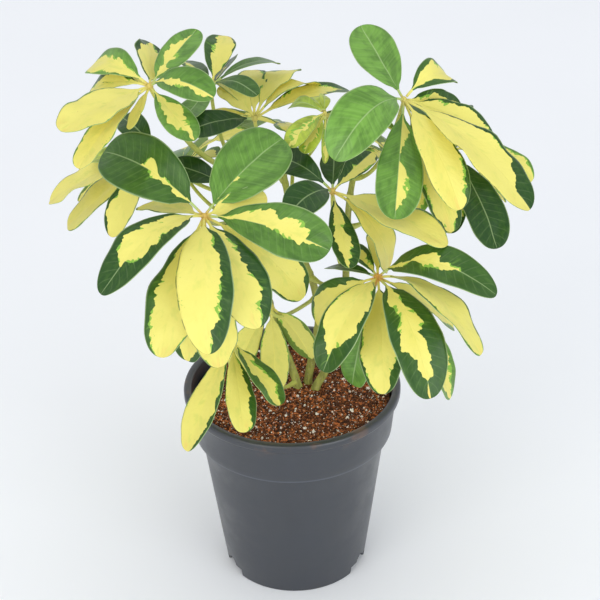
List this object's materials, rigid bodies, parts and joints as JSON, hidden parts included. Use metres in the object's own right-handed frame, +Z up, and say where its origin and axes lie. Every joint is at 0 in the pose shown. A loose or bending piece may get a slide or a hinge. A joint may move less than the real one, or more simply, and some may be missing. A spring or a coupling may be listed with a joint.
{
  "type": "potted umbrella plant",
  "caption": "Dwarf umbrella plant with cream and green variegated leaflets on three stems, in a tapered nursery pot filled with soil.",
  "frame": {"origin": "on the pot's axis, on the surface that the pot stands on", "axes": "+Z up along the pot's axis, -Y towards the front of the plant, +X to the right as seen from the front"},
  "size_m": [0.2764, 0.2562, 0.3452],
  "materials": {
    "pot": "satin",
    "soil": "matte",
    "stem": "matte",
    "leaf_cream": "satin",
    "leaf_mixed": "satin",
    "leaf_green": "satin",
    "leaf_young": "satin"
  },
  "bodies": {
    "root": {"pot": "pot", "soil": "soil", "stem_left": "stem", "stem_middle": "stem", "stem_right": "stem", "leaf_front_left": "leaf_mixed", "leaf_upper_left": "leaf_cream", "leaf_back_left_high": "leaf_mixed", "leaf_back_middle_high": "leaf_cream", "leaf_young_shoot": "leaf_young", "leaf_upper_right": "leaf_mixed", "leaf_right": "leaf_green", "leaf_middle": "leaf_mixed", "leaf_front_right": "leaf_mixed", "leaf_low_middle": "leaf_mixed", "leaf_low_left": "leaf_cream", "leaf_left": "leaf_cream", "leaf_inner": "leaf_green", "leaf_back_left": "leaf_mixed", "leaf_back_middle": "leaf_mixed", "leaf_back_right": "leaf_mixed"}
  },
  "joints": []
}
